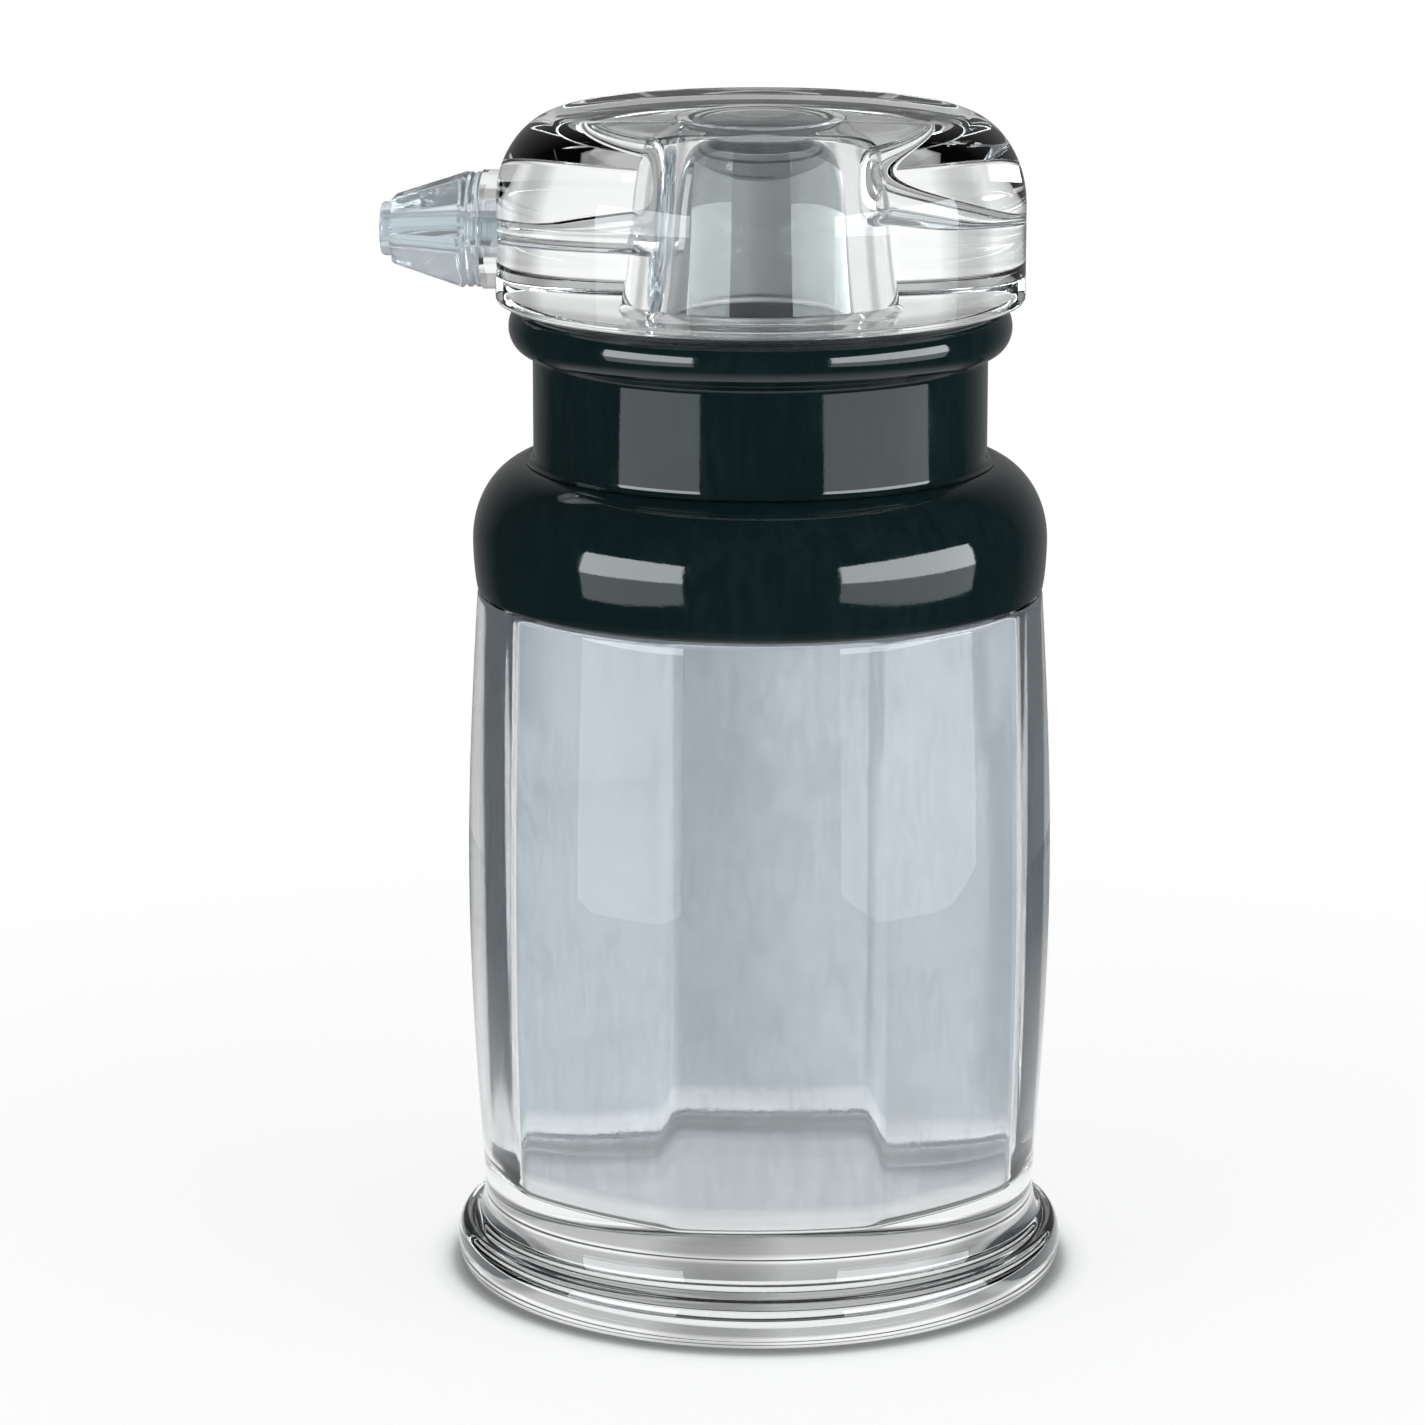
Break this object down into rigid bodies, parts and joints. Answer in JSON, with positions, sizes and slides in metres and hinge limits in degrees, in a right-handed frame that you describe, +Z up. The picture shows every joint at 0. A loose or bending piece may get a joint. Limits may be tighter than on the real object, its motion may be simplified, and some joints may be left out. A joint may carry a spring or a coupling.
{
  "type": "soy sauce dispenser",
  "caption": "Table dispenser with a clear jar, a black screw collar and a solid clear lid that pours through a small faceted spout.",
  "frame": {"origin": "middle of the foot's flat underside", "axes": "+Z up along the jar's axis, spout towards -X"},
  "size_m": [0.0721, 0.065, 0.1244],
  "materials": {
    "clear_plastic": "polished clear",
    "black_plastic": "high gloss",
    "silicone": "satin black"
  },
  "bodies": {
    "jar": {"jar": "clear_plastic"},
    "gasket": {"jar_gasket": "silicone"},
    "collar": {"collar": "black_plastic"},
    "lid": {"lid": "clear_plastic", "lid_seal": "silicone", "spout": "clear_plastic"}
  },
  "joints": [
    {"name": "collar_lift", "type": "slide", "parent": "jar", "child": "gasket", "axis": [0, 0, 1], "range_m": [0, 0.00451]},
    {"name": "collar_unscrew", "type": "hinge", "parent": "gasket", "child": "collar", "pos_m": [0, 0, 0.074], "axis": [0, 0, 1], "range_deg": [0, 540]},
    {"name": "lid_pull", "type": "slide", "parent": "collar", "child": "lid", "axis": [0, 0, 1], "range_m": [0, 0.02]}
  ],
  "couplings": [
    {"joint": "collar_lift", "follows": "collar_unscrew", "m_per_rad": 0.00047746}
  ]
}
